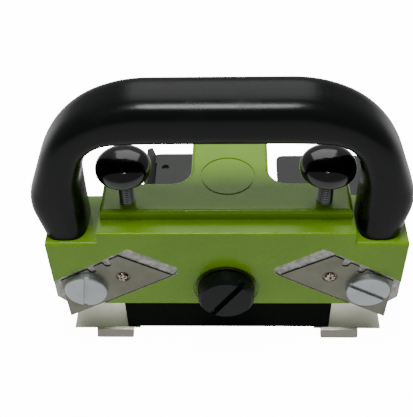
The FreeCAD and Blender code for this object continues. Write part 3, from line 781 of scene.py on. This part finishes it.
@dataclass
class Casting:
    """The green casting with its blades, pins, clamp screws and lock screw."""

    green: Enamel = field(default_factory=Enamel)
    pin_at: tuple = (53.6, 53.8)

    def dress(self) -> None:
        """Give every piece of the casting its finish."""
        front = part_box("body_casting")[0].y
        dress(["body_casting"], self.green.build(front))
        for side, turn in (("left", -0.55), ("right", 0.55)):
            sign = -1.0 if side == "left" else 1.0
            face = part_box(f"blade_{side}")[0].y
            pin = (sign * self.pin_at[0] * MM, self.pin_at[1] * MM)
            dress([f"blade_{side}"], BladeSteel(f"blade steel {side}", face, pin, turn).build())
            head = BareMetal(f"clamp screw {side}", (0.44, 0.47, 0.48), (0.32, 0.34, 0.35), 0.42, Grain.FACED,
                             tuple(node_middle(f"blade_screw_{side}")), 0.06).build()
            dress([f"blade_screw_{side}"], head)
        dress(["blade_pins"], Punched().build())
        oxide = DarkCoat("lock screw oxide", (0.002, 0.0035, 0.003), (0.006, 0.008, 0.008), 0.30,
                         shine=0.16).build()
        dress(["lock_screw"], oxide)
        dress(["lock_washer"], BareMetal("lock washer", (0.10, 0.12, 0.05), (0.05, 0.06, 0.02), 0.4).build())
        bolt = DarkCoat("bolt oxide", (0.02, 0.02, 0.02), (0.06, 0.06, 0.06), 0.4, 0.6).build()
        dress(["handle_bolts"], bolt)
        zinc = BareMetal("washer zinc", (0.55, 0.56, 0.55), (0.3, 0.3, 0.28), 0.35).build()
        dress(["handle_washers", "thrust_washers"], zinc)


@dataclass
class Base:
    """The sliding base: black block, polished shoes and dark rear skids."""

    def dress(self) -> None:
        """Give every piece of the base its finish."""
        iron = DarkCoat("base iron", (0.0012, 0.0030, 0.0014), (0.0030, 0.0048, 0.0032), 0.50,
                        shine=0.03).build()
        dress(["base_block"], iron)
        steel = BareMetal("shoe steel", (0.62, 0.60, 0.52), (0.46, 0.44, 0.37), 0.40, Grain.ALONG_Y,
                          depth=0.08).build()
        dress(["shoe_left", "shoe_right"], steel)
        grey = DarkCoat("skid paint", (0.038, 0.040, 0.038), (0.060, 0.062, 0.059), 0.55,
                        grit=700.0, depth=0.3, shine=0.25).build()
        dress(["skid_left", "skid_right"], grey)
        dress(["guide_posts"], BareMetal("post steel", (0.5, 0.5, 0.5), (0.3, 0.3, 0.3), 0.3).build())
        screw = DarkCoat("screw oxide", (0.02, 0.02, 0.02), (0.07, 0.07, 0.07), 0.4, 0.6).build()
        dress(["shoe_screws", "skid_screws"], screw)
        clip = BareMetal("clip steel", (0.2, 0.2, 0.2), (0.1, 0.1, 0.1), 0.4).build()
        dress(["clip_left", "clip_right"], clip)


# --------------------------------------------------------------------------- studio


@dataclass
class Studio:
    """Pale floor, soft lights and the camera."""

    lens: float = 69.1
    place: tuple = (4.0, -341.9, 372.7)
    pitch: float = 44.97
    yaw: float = -2.74
    roll: float = -2.07
    aim: tuple = (0.0, 0.0, 0.08)
    world: float = 0.27
    lamps: tuple = (("back_box", (0.0, 1.10, 1.20), 1.0, 6.4), ("top_box", (-0.05, -0.13, 1.30), 0.40, 17.0))

    def floor(self) -> None:
        """A wide flat sheet under the tool."""
        line = np.linspace(-3.0, 3.0, 9)
        x, y = np.meshgrid(line, line, indexing="ij")
        sheet = surface_mesh("floor_sheet", np.stack([x, y, np.zeros_like(x)], -1), False, False)
        sheet.data.materials.append(Paper().build())

    def light(self, name: str, place: Sequence[float], size: float, power: float) -> None:
        """One square area light aimed at the middle of the tool."""
        lamp = bpy.data.lights.new(name, "AREA")
        lamp.shape = "SQUARE"
        lamp.size = size
        lamp.energy = power
        holder = bpy.data.objects.new(name, lamp)
        holder.location = place
        holder.rotation_euler = (Vector(self.aim) - Vector(place)).to_track_quat("-Z", "Y").to_euler()
        bpy.context.scene.collection.objects.link(holder)

    def camera(self) -> None:
        """The camera: looks along +Y, pitched down, then yawed about Z and rolled about its own axis."""
        made = bpy.data.cameras.new("camera")
        made.lens = self.lens
        made.sensor_width = 36.0
        made.clip_start = 0.01
        holder = bpy.data.objects.new("camera", made)
        turn = (Matrix.Rotation(math.radians(-self.yaw), 4, "Z")
                @ Matrix.Rotation(math.radians(90 - self.pitch), 4, "X")
                @ Matrix.Rotation(math.radians(self.roll), 4, "Z"))
        holder.matrix_world = Matrix.Translation(Vector(self.place) * MM) @ turn
        bpy.context.scene.collection.objects.link(holder)
        bpy.context.scene.camera = holder

    def build(self) -> None:
        """Set up floor, lights, world and camera."""
        self.floor()
        for name, place, size, power in self.lamps:
            self.light(name, place, size, power)
        world = bpy.data.worlds.new("studio")
        world.use_nodes = True
        world.node_tree.nodes["Background"].inputs[0].default_value = (1.0, 1.0, 1.0, 1.0)
        world.node_tree.nodes["Background"].inputs[1].default_value = self.world
        bpy.context.scene.world = world
        self.camera()


def main() -> None:
    """Build the looks in order, from the casting outwards."""
    logging.basicConfig(level=logging.INFO, format="%(name)s: %(message)s")
    Casting().dress()
    Base().dress()
    handle = Handle()
    handle.dress(handle.build())
    plastic = Moulded("knob plastic", (0.002, 0.0025, 0.002), (0.005, 0.0055, 0.005),
                      rough=0.13, grain=0.03, coat=0.3, shine=0.45).build()
    for side in ("left", "right"):
        ThumbScrew(side).build(plastic)
    Studio().build()


if __name__ == "__main__":
    main()
